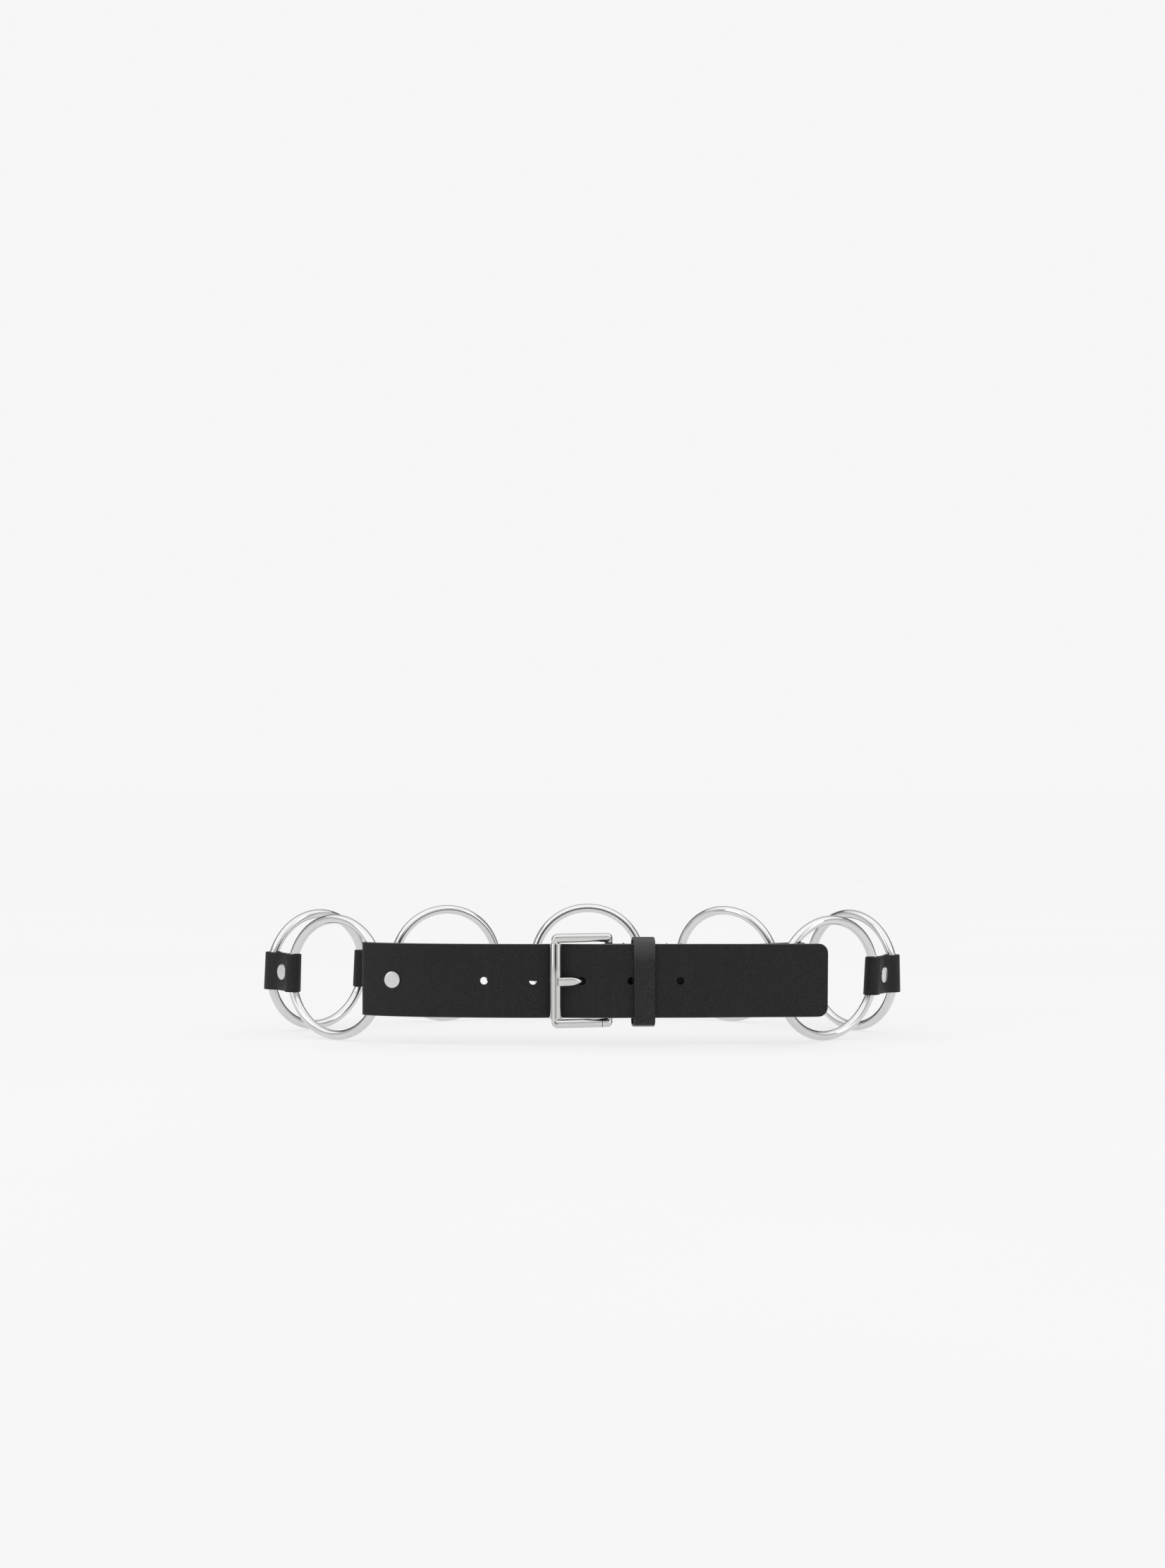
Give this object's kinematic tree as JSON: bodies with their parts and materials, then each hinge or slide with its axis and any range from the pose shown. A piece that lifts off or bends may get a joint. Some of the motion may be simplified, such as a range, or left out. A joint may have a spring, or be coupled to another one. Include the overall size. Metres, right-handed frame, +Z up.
{
  "type": "ring belt",
  "caption": "Leather belt with a row of round metal rings joined by riveted leather tabs, buckled with a roller buckle and a keeper, standing in an oval loop.",
  "frame": {"origin": "middle of the belt's box, on the surface that the belt stands on", "axes": "+X to the right along the front strap as the wearer is seen, +Y towards the back of the loop, +Z up"},
  "size_m": [0.347, 0.161, 0.066],
  "materials": {
    "strap_leather": "black, fine grain, low sheen",
    "plated_metal": "polished"
  },
  "bodies": {
    "root": {"tip_strap": "strap_leather", "buckle_strap": "strap_leather", "keeper_loop": "strap_leather", "tab_1": "strap_leather", "tab_2": "strap_leather", "tab_3": "strap_leather", "tab_4": "strap_leather", "tab_5": "strap_leather", "tab_6": "strap_leather", "ring_1": "plated_metal", "ring_2": "plated_metal", "ring_3": "plated_metal", "ring_4": "plated_metal", "ring_5": "plated_metal", "ring_6": "plated_metal", "ring_7": "plated_metal", "buckle_frame": "plated_metal", "buckle_roller": "plated_metal", "buckle_prong": "plated_metal", "rivet_tip_strap": "plated_metal", "rivet_buckle_strap": "plated_metal", "rivet_tab_1": "plated_metal", "rivet_tab_2": "plated_metal", "rivet_tab_3": "plated_metal", "rivet_tab_4": "plated_metal", "rivet_tab_5": "plated_metal", "rivet_tab_6": "plated_metal"}
  },
  "joints": []
}
